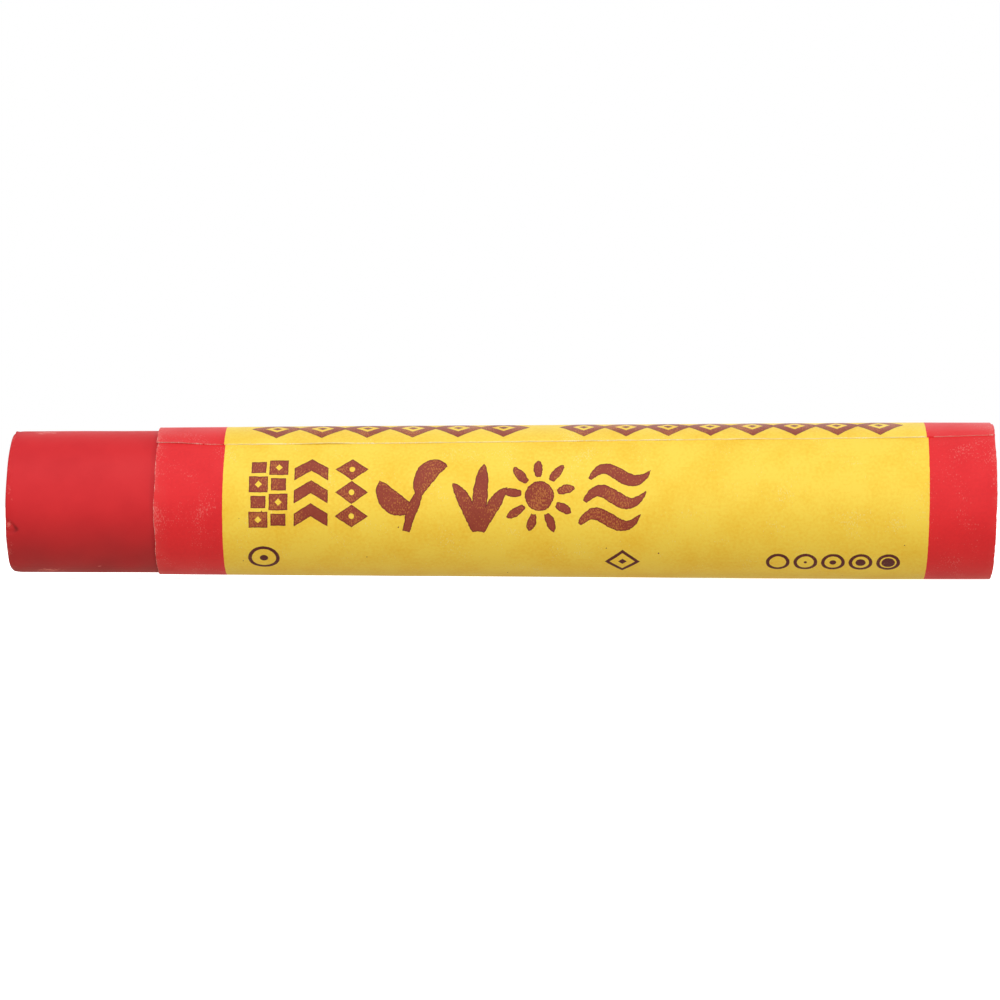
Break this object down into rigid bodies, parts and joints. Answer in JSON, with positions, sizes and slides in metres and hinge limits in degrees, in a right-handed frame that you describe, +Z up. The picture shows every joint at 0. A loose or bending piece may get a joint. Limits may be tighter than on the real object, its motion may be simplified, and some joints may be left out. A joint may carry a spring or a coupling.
{
  "type": "oil pastel stick",
  "caption": "Round oil pastel stick, cast with a slight taper, its drawing end bare and the rest rolled in a printed paper sleeve that slides along it.",
  "frame": {"origin": "on the surface that the part lies on, under the middle of its box", "axes": "+X along the stick from its bare drawing tip to its wrapped butt, -Y out of the printed front of the sleeve, +Z up with the paper's free edge over the upper front"},
  "size_m": [0.07, 0.011, 0.0112],
  "materials": {
    "pastel": "satin",
    "label_paper": "matte",
    "paste": "satin"
  },
  "bodies": {
    "stick": {"pastel_stick": "pastel"},
    "sleeve": {"paper_sleeve": "label_paper", "glue_seam": "paste"}
  },
  "joints": [
    {"name": "sleeve_slide", "type": "slide", "parent": "stick", "child": "sleeve", "axis": [-1, 0, 0], "range_m": [-0.006, 0.072]}
  ]
}
